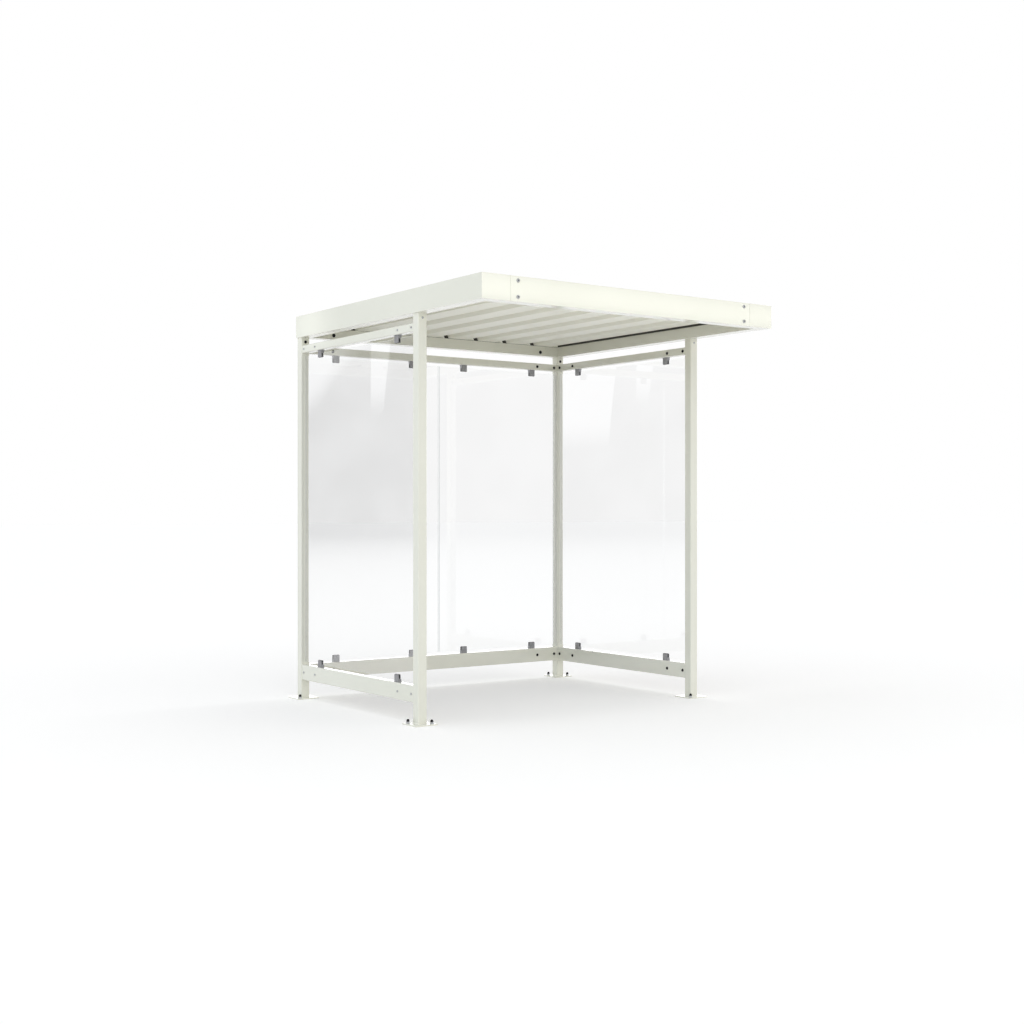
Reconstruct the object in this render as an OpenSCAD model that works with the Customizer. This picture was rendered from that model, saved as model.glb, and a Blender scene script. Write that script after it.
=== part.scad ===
// Open-fronted smoking shelter. Four square posts on foot plates carry a flat roof.
// The left, back and right sides are glazed with panes clamped between two rails.
// The roof is a ring of folded steel beams round a deck of trapezoidal sheet.
// Millimetres. +Z is up and the open front faces -Y. The origin is on the floor,
// at the centre of the shelter's overall plan.

/* [Frame] */
// Distance between post centres, left to right
bay_w = 2120; // [1500:10:3200]
// Distance between post centres, front to back
bay_d = 1460; // [1000:10:2600]
// Height of the roof's underside above the floor
head_h = 2383; // [1900:1:2800]

/* [Posts] */
// Side of the square post tube
post_w = 60; // [55:1:75]
// Wall of the post tube
post_wall = 3; // [2:0.5:5]
// Outer corner radius of the post tube
post_r = 6; // [5.5:0.5:9]

/* [Foot plates] */
// Side of the square foot plate
plate_w = 150; // [140:1:220]
// Thickness of the foot plate
plate_t = 8; // [5:0.5:15]
// Distance from the anchor holes' centres to the plate's edges
anchor_inset = 25; // [15:1:30]
// Diameter of the anchor holes
anchor_d = 14; // [9:0.5:18]

/* [Rails] */
// Thickness of both rails, centred on the posts
rail_t = 50; // [30:1:55]
// Wall of the rail tubes
rail_wall = 3; // [2:0.5:5]
// Outer corner radius of the rail tubes
rail_r = 6; // [5.5:0.5:9]
// Height of the bottom rails
bottom_rail_h = 100; // [50:1:160]
// Gap between the floor and the bottom rails
bottom_gap = 125; // [30:1:250]
// Height of the top rails
top_rail_h = 50; // [40:1:120]
// Gap between the top rails and the roof
top_gap = 53; // [10:1:200]

/* [Glass] */
// Thickness of the panes
glass_t = 8; // [6:0.5:10]
// Gap between a pane's side edge and the post
glass_post_gap = 10; // [3:0.5:25]
// Gap between a pane and the rails
glass_rail_gap = 20; // [10:0.5:30]
// Gap between the two back panes
glass_seam = 10; // [3:0.5:20]

/* [Glass clamps] */
// Width of a clamp along the rail
clamp_w = 45; // [30:1:80]
// Height of a clamp, from the rail to its far end
clamp_h = 45; // [40:1:70]
// Thickness of a clamp across the glass
clamp_t = 22; // [20:0.5:28]
// Rounding of a clamp's far corners
clamp_r = 4; // [1:0.5:8]
// Rubber between the glass and each cheek of a clamp
gasket_t = 2; // [1:0.25:2.5]
// Width of the clamp's base across the rail
clamp_base_t = 28; // [23:0.5:30]
// Thickness of the clamp's base
clamp_base_h = 3; // [2:0.5:5]
// Distance from a pane's side edge to its clamps' centres
clamp_inset = 207; // [60:1:300]

/* [Roof beams] */
// Height of the roof's outer face
roof_h = 142; // [122:1:240]
// How far the roof stands proud of the posts on the left and right
roof_side = 10; // [0:1:40]
// How far the roof stands proud of the back posts
roof_back = 0; // [0:1:200]
// How far the roof reaches in front of the front posts
roof_front = 665; // [100:5:1000]
// Thickness of the folded sheet
beam_t = 3; // [1.5:0.25:4]
// Width of the beams' bottom flange
beam_w = 80; // [70:1:100]
// Height of the beams' inner web, on which the deck rests
web_h = 73; // [40:1:90]
// Width of the lip along the top of the outer face
lip_w = 20; // [10:1:25]
// Length of the side beams' returns round each corner
corner_return = 190; // [150:1:400]
// Open seam between a return and the front or back beam
seam_gap = 1; // [0.5:0.25:4]
// Reach of the joint tabs to each side of a seam
tab_reach = 90; // [60:1:120]
// Margin between a joint tab and the roof's top and bottom edges
tab_margin = 10; // [6:1:14]

/* [Deck] */
// Distance between the ribs' centres
rib_pitch = 250; // [150:5:350]
// Width of a rib at its foot
rib_foot = 110; // [80:1:130]
// Width of a rib at its crown
rib_crown = 70; // [30:1:76]
// Height of the ribs
rib_h = 40; // [15:1:45]
// Thickness of the deck sheet
deck_t = 1; // [0.75:0.25:2]
// How far the deck runs past the front and back webs
deck_bearing = 25; // [5:1:40]
// Gap between the deck's side edges and the roof's outer face
deck_side_gap = 37; // [5:1:60]

/* [Post heads] */
// Gap between a spigot and the inside of the post
spigot_gap = 1; // [0.5:0.25:2]
// Wall of the spigot tube
spigot_wall = 4; // [2:0.5:6]
// Length of the spigot below the roof
spigot_l = 90; // [50:1:200]

/* [Hidden] */

$fn = 32;

// Extents of the roof and the plates about the middle of the bay
roof_half_w = bay_w / 2 + post_w / 2 + roof_side;
front_reach = bay_d / 2 + post_w / 2 + roof_front;
roof_back_reach = bay_d / 2 + post_w / 2 + roof_back;
back_reach = max(roof_back_reach, bay_d / 2 + plate_w / 2);

// The middle of the bay lies behind the origin, which is the middle of the whole plan
bay_y = (front_reach - back_reach) / 2;
roof_mid_y = bay_y + (roof_back_reach - front_reach) / 2;
roof_half_d = (roof_back_reach + front_reach) / 2;

// Clear spans between the posts; rails and glass run along the posts' centre lines
span_w = bay_w - post_w;
span_d = bay_d - post_w;
side_line_x = bay_w / 2;
back_line_y = bay_y + bay_d / 2;

// Levels of the rails and the panes
bottom_rail_top = bottom_gap + bottom_rail_h;
top_rail_foot = head_h - top_gap - top_rail_h;
pane_z0 = bottom_rail_top + glass_rail_gap;
pane_z1 = top_rail_foot - glass_rail_gap;
pane_h = pane_z1 - pane_z0;

// Widths of the panes, and their clamps' places along each side
side_pane_w = span_d - 2 * glass_post_gap;
back_pane_w = span_w / 2 - glass_post_gap - glass_seam / 2;
side_clamp = side_pane_w / 2 - clamp_inset;
back_clamp_mid = glass_seam / 2 + clamp_inset;
back_clamp_far = glass_seam / 2 + back_pane_w - clamp_inset;

// Deck profile: the upper face is the lower one moved out by the sheet's thickness
rib_slope = (rib_foot - rib_crown) / 2;
rib_flank = sqrt(rib_slope * rib_slope + rib_h * rib_h);
bend_shift = deck_t * (rib_flank - rib_slope) / rib_h;
deck_edge_x = roof_half_w - beam_t - deck_side_gap;
rib_reach = ceil(roof_half_w / rib_pitch);
deck_half_d = roof_half_d - beam_w + beam_t + deck_bearing;

frame_paint = [0.93, 0.93, 0.89];
deck_paint = [0.86, 0.86, 0.84];
glass_tint = [0.78, 0.86, 0.88, 0.4];
bare_metal = [0.62, 0.63, 0.63];
zinc = [0.7, 0.71, 0.72];

// Rectangle with rounded corners, centred
module rounded_rect(w, d, r) {
    square([w - 2 * r, d], center = true);
    square([w, d - 2 * r], center = true);
    for (sx = [-1, 1], sy = [-1, 1])
        translate([sx * (w / 2 - r), sy * (d / 2 - r)])
            circle(r);
}

// Cross-section of a rectangular tube
module tube_section(w, d, wall, r) {
    difference() {
        rounded_rect(w, d, r);
        rounded_rect(w - 2 * wall, d - 2 * wall, max(r - wall, 0.5));
    }
}

// Post at the corner given by sx (left -1, right 1) and sy (front -1, back 1)
module post(sx, sy) {
    color(frame_paint)
        translate([sx * bay_w / 2, bay_y + sy * bay_d / 2, plate_t])
            linear_extrude(head_h - plate_t)
                tube_section(post_w, post_w, post_wall, post_r);
}

// Foot plate; its two anchor holes lie across the line to the bay's middle
module foot_plate(sx, sy) {
    hole_at = plate_w / 2 - anchor_inset;
    color(frame_paint)
        translate([sx * bay_w / 2, bay_y + sy * bay_d / 2, 0])
            difference() {
                translate([-plate_w / 2, -plate_w / 2, 0])
                    cube([plate_w, plate_w, plate_t]);
                for (end = [-1, 1])
                    translate([end * hole_at, -end * sx * sy * hole_at, -1])
                        cylinder(d = anchor_d, h = plate_t + 2);
            }
}

// Square tube in the top of a post, fixed under the roof beam
module spigot(sx, sy) {
    spigot_w = post_w - 2 * post_wall - 2 * spigot_gap;
    color(zinc)
        translate([sx * bay_w / 2, bay_y + sy * bay_d / 2, head_h - spigot_l])
            linear_extrude(spigot_l)
                tube_section(spigot_w, spigot_w, spigot_wall, post_r - post_wall);
}

// Rail on the left (side -1) or right (side 1), between the front and back posts
module side_rail(side, z, h) {
    color(frame_paint)
        translate([side * side_line_x, bay_y, z + h / 2])
            rotate([90, 0, 0])
                linear_extrude(span_d, center = true)
                    tube_section(rail_t, h, rail_wall, rail_r);
}

// Rail along the back, between the back posts
module back_rail(z, h) {
    color(frame_paint)
        translate([0, back_line_y, z + h / 2])
            rotate([90, 0, 90])
                linear_extrude(span_w, center = true)
                    tube_section(rail_t, h, rail_wall, rail_r);
}

// Pane on the left or right side
module side_pane(side) {
    color(glass_tint)
        translate([side * side_line_x - glass_t / 2, bay_y - side_pane_w / 2, pane_z0])
            cube([glass_t, side_pane_w, pane_h]);
}

// Left (-1) or right (1) pane of the back
module back_pane(half) {
    middle_x = half * (glass_seam + back_pane_w) / 2;
    color(glass_tint)
        translate([middle_x - back_pane_w / 2, back_line_y - glass_t / 2, pane_z0])
            cube([back_pane_w, glass_t, pane_h]);
}

// Face of a clamp: square at the rail, rounded at the far corners
module clamp_face() {
    translate([-clamp_w / 2, 0])
        square([clamp_w, clamp_h - clamp_r]);
    translate([-clamp_w / 2 + clamp_r, 0])
        square([clamp_w - 2 * clamp_r, clamp_h]);
    for (end = [-1, 1])
        translate([end * (clamp_w / 2 - clamp_r), clamp_h - clamp_r])
            circle(clamp_r);
}

// Clamp standing on a rail: width along X, glass slot open to +Z
module clamp() {
    slot_w = glass_t + 2 * gasket_t;
    color(bare_metal)
        difference() {
            union() {
                rotate([90, 0, 0])
                    linear_extrude(clamp_t, center = true)
                        clamp_face();
                translate([-clamp_w / 2, -clamp_base_t / 2, 0])
                    cube([clamp_w, clamp_base_t, clamp_base_h]);
            }
            translate([-clamp_w / 2 - 1, -slot_w / 2, glass_rail_gap])
                cube([clamp_w + 2, slot_w, clamp_h]);
        }
}

// Places a clamp on the bottom rail (level 0) or under the top rail (level 1)
module at_rail(level) {
    translate([0, 0, level == 0 ? bottom_rail_top : top_rail_foot])
        mirror([0, 0, level])
            children();
}

// Clamp on a side, in front of (end -1) or behind (end 1) the bay's middle
module side_clamp_at(side, end, level) {
    translate([side * side_line_x, bay_y + end * side_clamp, 0])
        at_rail(level)
            rotate([0, 0, 90])
                clamp();
}

// Clamp along the back, at x
module back_clamp_at(x, level) {
    translate([x, back_line_y, 0])
        at_rail(level)
            clamp();
}

// Places the roof's pieces: its middle in plan, at the level of its underside
module at_roof() {
    translate([0, roof_mid_y, head_h])
        children();
}

module roof_outline(inset) {
    square([2 * (roof_half_w - inset), 2 * (roof_half_d - inset)], center = true);
}

// Band in plan between two outlines, set in from the roof's edge by near and by far
module roof_band(near, far) {
    difference() {
        roof_outline(near);
        roof_outline(far);
    }
}

// The whole ring of folded beams: outer face, bottom flange, inner web and top lip
module roof_ring() {
    linear_extrude(roof_h)
        roof_band(0, beam_t);
    linear_extrude(beam_t)
        roof_band(0, beam_w);
    linear_extrude(web_h)
        roof_band(beam_w - beam_t, beam_w);
    translate([0, 0, roof_h - beam_t])
        linear_extrude(beam_t)
            roof_band(0, lip_w);
}

// Strap across the left front seam, welded inside the corner return
module joint_tab() {
    tab_h = roof_h - 2 * tab_margin;
    translate([corner_return - roof_half_w - tab_reach, -roof_half_d, tab_margin]) {
        cube([tab_reach, 2 * beam_t, tab_h]);
        translate([0, beam_t, 0])
            cube([2 * tab_reach, beam_t, tab_h]);
    }
}

// Side beam, drawn on the left: the ring's side, the corner returns and their straps
module roof_side_beam(side) {
    color(frame_paint)
        at_roof()
            mirror([side > 0 ? 1 : 0, 0, 0]) {
                intersection() {
                    roof_ring();
                    translate([-roof_half_w, -roof_half_d, 0])
                        cube([corner_return, 2 * roof_half_d, roof_h]);
                }
                for (end = [0, 1])
                    mirror([0, end, 0])
                        joint_tab();
            }
}

// Front (-1) or back (1) beam: the ring's end between the corner returns
module roof_end_beam(end) {
    length = 2 * (roof_half_w - corner_return - seam_gap);
    color(frame_paint)
        at_roof()
            intersection() {
                roof_ring();
                translate([-length / 2, end < 0 ? -roof_half_d : roof_half_d - beam_w, 0])
                    cube([length, beam_w, roof_h]);
            }
}

// One face of the deck's profile; grow moves it out by the sheet's thickness
function deck_line(grow) = [
    for (i = [-rib_reach : rib_reach])
        for (p = [
            [-rib_foot / 2 - grow * bend_shift, 0],
            [-rib_crown / 2 - grow * bend_shift, rib_h],
            [rib_crown / 2 + grow * bend_shift, rib_h],
            [rib_foot / 2 + grow * bend_shift, 0]
        ])
            [i * rib_pitch + p[0], p[1] + grow * deck_t]
];

function reversed(list) = [for (i = [len(list) - 1 : -1 : 0]) list[i]];

// Deck sheet from the middle of the roof to its left (-1) or right (1) edge
module deck(side) {
    color(deck_paint)
        at_roof()
            translate([0, 0, web_h])
                rotate([90, 0, 0])
                    linear_extrude(2 * deck_half_d, center = true)
                        intersection() {
                            polygon(concat(deck_line(0), reversed(deck_line(1))));
                            translate([side < 0 ? -deck_edge_x : 0, -deck_t])
                                square([deck_edge_x, rib_h + 3 * deck_t]);
                        }
}

post(-1, -1);  // post_front_left
post(1, -1);  // post_front_right
post(-1, 1);  // post_back_left
post(1, 1);  // post_back_right
foot_plate(-1, -1);  // foot_plate_front_left
foot_plate(1, -1);  // foot_plate_front_right
foot_plate(-1, 1);  // foot_plate_back_left
foot_plate(1, 1);  // foot_plate_back_right
side_rail(-1, bottom_gap, bottom_rail_h);  // bottom_rail_left
back_rail(bottom_gap, bottom_rail_h);  // bottom_rail_back
side_rail(1, bottom_gap, bottom_rail_h);  // bottom_rail_right
side_rail(-1, top_rail_foot, top_rail_h);  // top_rail_left
back_rail(top_rail_foot, top_rail_h);  // top_rail_back
side_rail(1, top_rail_foot, top_rail_h);  // top_rail_right
side_pane(-1);  // pane_left
back_pane(-1);  // pane_back_left
back_pane(1);  // pane_back_right
side_pane(1);  // pane_right
side_clamp_at(-1, -1, 0);  // clamp_left_front_bottom
side_clamp_at(-1, -1, 1);  // clamp_left_front_top
side_clamp_at(-1, 1, 0);  // clamp_left_rear_bottom
side_clamp_at(-1, 1, 1);  // clamp_left_rear_top
side_clamp_at(1, -1, 0);  // clamp_right_front_bottom
side_clamp_at(1, -1, 1);  // clamp_right_front_top
side_clamp_at(1, 1, 0);  // clamp_right_rear_bottom
side_clamp_at(1, 1, 1);  // clamp_right_rear_top
back_clamp_at(-back_clamp_far, 0);  // clamp_back_far_left_bottom
back_clamp_at(-back_clamp_far, 1);  // clamp_back_far_left_top
back_clamp_at(-back_clamp_mid, 0);  // clamp_back_mid_left_bottom
back_clamp_at(-back_clamp_mid, 1);  // clamp_back_mid_left_top
back_clamp_at(back_clamp_mid, 0);  // clamp_back_mid_right_bottom
back_clamp_at(back_clamp_mid, 1);  // clamp_back_mid_right_top
back_clamp_at(back_clamp_far, 0);  // clamp_back_far_right_bottom
back_clamp_at(back_clamp_far, 1);  // clamp_back_far_right_top
roof_side_beam(-1);  // roof_beam_left
roof_side_beam(1);  // roof_beam_right
roof_end_beam(-1);  // roof_beam_front
roof_end_beam(1);  // roof_beam_back
deck(-1);  // deck_left
deck(1);  // deck_right
spigot(-1, -1);  // spigot_front_left
spigot(1, -1);  // spigot_front_right
spigot(-1, 1);  // spigot_back_left
spigot(1, 1);  // spigot_back_right
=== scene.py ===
# %% [markdown]
# # Dressing an open-fronted smoking shelter
# The real shelter is a small steel frame: four square posts on foot plates, rails between
# them, clamped glass on three sides and a flat roof of folded beams round a ribbed deck.
# The CAD model already holds those parts as separate nodes, at their true size. This lesson
# gives each one its finish, and adds the small things that a frame like this is put together
# with: anchors, bolts, caps, rubber, welds and screws. Everything is in metres, +Z is up and
# the open front faces -Y, so a piece goes where the CAD part is, with no fitting.

import math

import bmesh
import bpy
from mathutils import Matrix, Vector


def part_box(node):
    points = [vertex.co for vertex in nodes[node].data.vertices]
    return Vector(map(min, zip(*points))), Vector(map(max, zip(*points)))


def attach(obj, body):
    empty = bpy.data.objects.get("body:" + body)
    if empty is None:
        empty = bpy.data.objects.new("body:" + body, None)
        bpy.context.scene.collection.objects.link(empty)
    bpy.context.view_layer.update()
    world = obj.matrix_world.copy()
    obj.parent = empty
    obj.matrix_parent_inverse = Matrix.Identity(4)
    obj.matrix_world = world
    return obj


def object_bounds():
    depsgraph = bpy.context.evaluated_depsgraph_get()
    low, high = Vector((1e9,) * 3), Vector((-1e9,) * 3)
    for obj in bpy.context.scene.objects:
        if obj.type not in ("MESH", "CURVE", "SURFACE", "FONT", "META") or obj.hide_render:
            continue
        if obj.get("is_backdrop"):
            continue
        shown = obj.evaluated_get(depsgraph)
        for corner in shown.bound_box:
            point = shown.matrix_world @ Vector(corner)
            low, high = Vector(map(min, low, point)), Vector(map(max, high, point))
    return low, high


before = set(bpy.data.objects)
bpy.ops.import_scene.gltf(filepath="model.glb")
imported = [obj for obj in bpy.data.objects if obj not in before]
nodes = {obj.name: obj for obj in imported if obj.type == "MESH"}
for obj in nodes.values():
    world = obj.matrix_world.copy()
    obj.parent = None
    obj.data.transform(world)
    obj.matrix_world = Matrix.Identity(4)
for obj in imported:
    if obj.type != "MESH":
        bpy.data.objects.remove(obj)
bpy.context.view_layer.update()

# %% [markdown]
# ## Places to measure from
# Every screw and washer sits on some CAD part, so the lesson never types where a part is. It
# asks for the part's box and works from its faces. Corners are named by a side (left or
# right) and an end (front or back), as the parts are.

# %% Names and boxes
SIDES = ("left", "right")
ENDS = ("front", "back")
CORNERS = [(end, side) for end in ENDS for side in SIDES]


def outward(word):
    """-1 for left and front, 1 for right and back."""
    return -1 if word in ("left", "front") else 1


def middle(node):
    low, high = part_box(node)
    return (low + high) / 2


roof_low, roof_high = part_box("roof_beam_left")
deck_low, deck_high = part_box("deck_left")
post_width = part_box("post_front_left")[1].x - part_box("post_front_left")[0].x
print("posts are", round(post_width, 3), "wide; the roof starts at", round(roof_low.z, 3))

# %% [markdown]
# ## Camera
# A person standing a few paces off the front left corner sees the shelter like this. The
# camera is level, at chest height, and looks a little past the corner. A level camera keeps
# the posts upright; tilting it up or down would make them lean together.

# %% Camera
CAMERA_PLACE = (-5.412, -7.432, 1.237)
CAMERA_TURN = math.radians(-35.55)
LENS, SENSOR_WIDTH, CAMERA_REACH = 50, 36, 500
CAMERA_SHIFT = (-0.00044, -0.0008)

camera_data = bpy.data.cameras.new("camera")
camera_data.lens = LENS
camera_data.sensor_width = SENSOR_WIDTH
camera_data.shift_x, camera_data.shift_y = CAMERA_SHIFT
camera_data.clip_end = CAMERA_REACH
camera = bpy.data.objects.new("camera", camera_data)
camera.location = CAMERA_PLACE
camera.rotation_euler = (math.radians(90), 0, CAMERA_TURN)
bpy.context.scene.collection.objects.link(camera)
bpy.context.scene.camera = camera
bpy.context.scene.view_settings.view_transform = "Standard"
print("camera at", CAMERA_PLACE)

# %% [markdown]
# ## Helpers for node materials
# A finish is a small network of nodes. Each one starts from the object's own coordinates, so
# a pattern stays on its part whichever way the camera moves, and the same few steps come
# back in every material: a noise, a mix of two close colours, a fine bump. Three short
# helpers keep the networks readable.

# %% Material helpers
def new_material(name):
    """A material with its node tree, its Principled shader and a socket of coordinates."""
    material = bpy.data.materials.new(name)
    material.use_nodes = True
    tree = material.node_tree
    shader = tree.nodes["Principled BSDF"]
    place = tree.nodes.new("ShaderNodeTexCoord").outputs["Object"]
    return material, tree, shader, place


def noise(tree, place, scale, detail=2.0, stretch=(1, 1, 1)):
    """A noise value; scale is in features per metre, stretch squeezes it along an axis."""
    mapping = tree.nodes.new("ShaderNodeMapping")
    mapping.inputs["Scale"].default_value = stretch
    tree.links.new(place, mapping.inputs["Vector"])
    texture = tree.nodes.new("ShaderNodeTexNoise")
    texture.inputs["Scale"].default_value = scale
    texture.inputs["Detail"].default_value = detail
    tree.links.new(mapping.outputs["Vector"], texture.inputs["Vector"])
    return texture.outputs["Fac"]


def two_tone(tree, value, dark, light, socket, low=0.35, high=0.65):
    """Runs a value from one colour to another, and joins it to a socket."""
    ramp = tree.nodes.new("ShaderNodeValToRGB")
    ramp.color_ramp.elements[0].position = low
    ramp.color_ramp.elements[1].position = high
    ramp.color_ramp.elements[0].color = (*dark, 1)
    ramp.color_ramp.elements[1].color = (*light, 1)
    tree.links.new(value, ramp.inputs["Fac"])
    tree.links.new(ramp.outputs["Color"], socket)


def between(tree, value, low, high, socket):
    """Maps a value from 0..1 to low..high, and joins it to a socket."""
    span = tree.nodes.new("ShaderNodeMapRange")
    span.inputs["To Min"].default_value = low
    span.inputs["To Max"].default_value = high
    tree.links.new(value, span.inputs["Value"])
    tree.links.new(span.outputs["Result"], socket)


def bump(tree, shader, value, height):
    """Raises the surface by height metres where the value is 1."""
    node = tree.nodes.new("ShaderNodeBump")
    node.inputs["Distance"].default_value = height
    node.inputs["Strength"].default_value = 1.0
    tree.links.new(value, node.inputs["Height"])
    tree.links.new(node.outputs["Normal"], shader.inputs["Normal"])


print("material helpers ready")

# %% [markdown]
# ## Powder coat on the frame
# The posts, rails, plates and roof beams are powder coated in an off-white: a resin powder
# that is melted on, which leaves a satin skin with a faint orange peel, a millimetre or two
# from bump to bump. A plain white would look like plastic. The colour drifts a little over a
# metre and a very low bump gives the peel. The gloss is the same everywhere, since a gloss
# that drifts draws fine contour lines on long flat faces. A clear coat stands for the smooth
# resin at the surface: it is what whitens a face that is seen at a very flat angle.

# %% Powder coat
PAINT_DARK = (0.852, 0.845, 0.736)
PAINT_LIGHT = (0.880, 0.873, 0.766)
PAINT_ROUGHNESS, COAT_ROUGHNESS = 0.27, 0.16
PEEL_SCALE, PEEL_HEIGHT = 620.0, 0.000008

powder_coat, tree, shader, place = new_material("powder_coat")
two_tone(tree, noise(tree, place, 1.4), PAINT_DARK, PAINT_LIGHT, shader.inputs["Base Color"])
shader.inputs["Roughness"].default_value = PAINT_ROUGHNESS
bump(tree, shader, noise(tree, place, PEEL_SCALE, 1.0), PEEL_HEIGHT)
shader.inputs["Coat Weight"].default_value = 1.0
shader.inputs["Coat Roughness"].default_value = COAT_ROUGHNESS
print("powder coat:", PAINT_DARK, "to", PAINT_LIGHT)

# %% [markdown]
# ## Coil coating on the roof deck
# The deck is thin sheet that was painted flat in a long coil and rolled to shape afterwards.
# Its colour is set lighter than the frame's paint, which is painted light: it stands in for
# the light that brightens the deck from below. The rolls leave faint lines along the ribs. A
# noise that is squeezed across the ribs and stretched along them draws such lines.

# %% Coil coating
# Painted light: both deck colours are lighter than the frame's paint, for light from below.
COIL_DARK = (0.905, 0.892, 0.782)
COIL_LIGHT = (0.935, 0.923, 0.815)
ALONG_RIBS = (1, 0.01, 1)
ROLL_LINES, ROLL_HEIGHT = 90.0, 0.00006
COIL_ROUGHNESS = (0.38, 0.48)

coil_coat_and_painted_light, tree, shader, place = new_material("coil_coat_and_painted_light")
rolled = noise(tree, place, ROLL_LINES, 3.0, ALONG_RIBS)
two_tone(tree, rolled, COIL_DARK, COIL_LIGHT, shader.inputs["Base Color"])
between(tree, noise(tree, place, 5.0), *COIL_ROUGHNESS, shader.inputs["Roughness"])
bump(tree, shader, rolled, ROLL_HEIGHT)
print("coil coat:", COIL_DARK, "to", COIL_LIGHT)

# %% [markdown]
# ## Clear glass
# The panes are clear toughened glass, 8 mm thick, with polished edges. Glass is hard to see
# head on: what shows is a slight loss of light, the reflection that grows towards grazing
# angles, and the edges, where light has travelled far inside and comes out grey green. The
# shader gets a real refractive index and does the first two by itself. The edges are picked
# out by the surface normal, because a pane's faces look one way and its edges do not.
# Rays that only carry light to other things, and the blurred reflections in the paint, pass
# straight through a Transparent shader, because bent light paths take very long to find and
# leave bright specks.

# %% Glass for a pane that faces along X or Y
GLASS_INDEX = 1.5
GLASS_CLEAR = (0.996, 0.997, 0.997)
GLASS_HAZE = (0.990, 0.991, 0.991)
GLASS_EDGE = (0.26, 0.31, 0.30)
GLASS_SHADE = (0.62, 0.62, 0.63)
EDGE_NORMAL, EDGE_ROUGHNESS = 0.9, 0.55


def glass_material(name, facing):
    material, tree, shader, place = new_material(name)
    make, join = tree.nodes.new, tree.links.new
    shader.inputs["Transmission Weight"].default_value = 1.0
    shader.inputs["IOR"].default_value = GLASS_INDEX
    body = make("ShaderNodeMix")
    body.data_type = "RGBA"
    two_tone(tree, noise(tree, place, 0.8), GLASS_HAZE, GLASS_CLEAR, body.inputs["A"])
    body.inputs["B"].default_value = (*GLASS_EDGE, 1)
    normal = make("ShaderNodeSeparateXYZ")
    join(make("ShaderNodeTexCoord").outputs["Normal"], normal.inputs["Vector"])
    flat = make("ShaderNodeMath")
    flat.operation = "ABSOLUTE"
    join(normal.outputs[facing], flat.inputs[0])
    is_edge = make("ShaderNodeMath")
    is_edge.operation = "LESS_THAN"
    is_edge.inputs[1].default_value = EDGE_NORMAL
    join(flat.outputs["Value"], is_edge.inputs[0])
    join(is_edge.outputs["Value"], body.inputs["Factor"])
    join(body.outputs["Result"], shader.inputs["Base Color"])
    between(tree, is_edge.outputs["Value"], 0.0, EDGE_ROUGHNESS, shader.inputs["Roughness"])
    rays = make("ShaderNodeLightPath")
    carrying = make("ShaderNodeMath")
    carrying.operation = "MAXIMUM"
    join(rays.outputs["Is Shadow Ray"], carrying.inputs[0])
    join(rays.outputs["Is Diffuse Ray"], carrying.inputs[1])
    blurred = make("ShaderNodeMath")
    blurred.operation = "SUBTRACT"
    blurred.use_clamp = True
    join(rays.outputs["Is Glossy Ray"], blurred.inputs[0])
    join(rays.outputs["Is Singular Ray"], blurred.inputs[1])
    surface = shader.outputs["BSDF"]
    for rays_like_this, tint in ((carrying, GLASS_SHADE), (blurred, GLASS_CLEAR)):
        through = make("ShaderNodeBsdfTransparent")
        through.inputs["Color"].default_value = (*tint, 1)
        mix = make("ShaderNodeMixShader")
        join(rays_like_this.outputs["Value"], mix.inputs["Fac"])
        join(surface, mix.inputs[1])
        join(through.outputs["BSDF"], mix.inputs[2])
        surface = mix.outputs["Shader"]
    join(surface, tree.nodes["Material Output"].inputs["Surface"])
    return material


side_glass = glass_material("side_glass", "X")
back_glass = glass_material("back_glass", "Y")
print("glass index", GLASS_INDEX)

# %% [markdown]
# ## Metals, rubber and caps
# The glass clamps are die-cast and tumbled to a satin grey, with a fine grain. The bolts and
# washers are zinc plated and smoother. The spigots inside the post heads are hot-dip
# galvanised, which grows a patchwork of pale crystals, so they get a Voronoi pattern. The
# nuts inside the frame carry caps of matt black plastic, and the glass sits in black rubber.
# The dark grey foam with open pores is painted shade: it is put in hollows and joints of the
# deck that lie in shadow.

# %% Satin grey clamps
CAST_DARK, CAST_LIGHT = (0.29, 0.29, 0.30), (0.34, 0.34, 0.355)

clamp_satin, tree, shader, place = new_material("clamp_satin")
grain = noise(tree, place, 1400.0)
shader.inputs["Metallic"].default_value = 1.0
two_tone(tree, noise(tree, place, 35.0), CAST_DARK, CAST_LIGHT, shader.inputs["Base Color"])
between(tree, noise(tree, place, 60.0), 0.34, 0.46, shader.inputs["Roughness"])
bump(tree, shader, grain, 0.00002)
print("clamps: satin grey")

# %% Zinc plated fasteners
ZINC_DARK, ZINC_LIGHT = (0.42, 0.43, 0.44), (0.54, 0.55, 0.56)

zinc_plate, tree, shader, place = new_material("zinc_plate")
shader.inputs["Metallic"].default_value = 1.0
two_tone(tree, noise(tree, place, 160.0), ZINC_DARK, ZINC_LIGHT, shader.inputs["Base Color"])
between(tree, noise(tree, place, 240.0), 0.26, 0.40, shader.inputs["Roughness"])
bump(tree, shader, noise(tree, place, 2200.0, 1.0), 0.00001)
print("fasteners: zinc")

# %% Galvanised spigots
CRYSTAL_DARK, CRYSTAL_LIGHT = (0.48, 0.50, 0.52), (0.68, 0.70, 0.71)
CRYSTALS_PER_METRE = 90.0

galvanised, tree, shader, place = new_material("galvanised")
crystals = tree.nodes.new("ShaderNodeTexVoronoi")
crystals.inputs["Scale"].default_value = CRYSTALS_PER_METRE
tree.links.new(place, crystals.inputs["Vector"])
shader.inputs["Metallic"].default_value = 0.9
two_tone(tree, crystals.outputs["Color"], CRYSTAL_DARK, CRYSTAL_LIGHT,
         shader.inputs["Base Color"], 0.1, 0.9)
between(tree, crystals.outputs["Color"], 0.35, 0.6, shader.inputs["Roughness"])
bump(tree, shader, crystals.outputs["Distance"], 0.00005)
print("spigots: galvanised")

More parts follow.
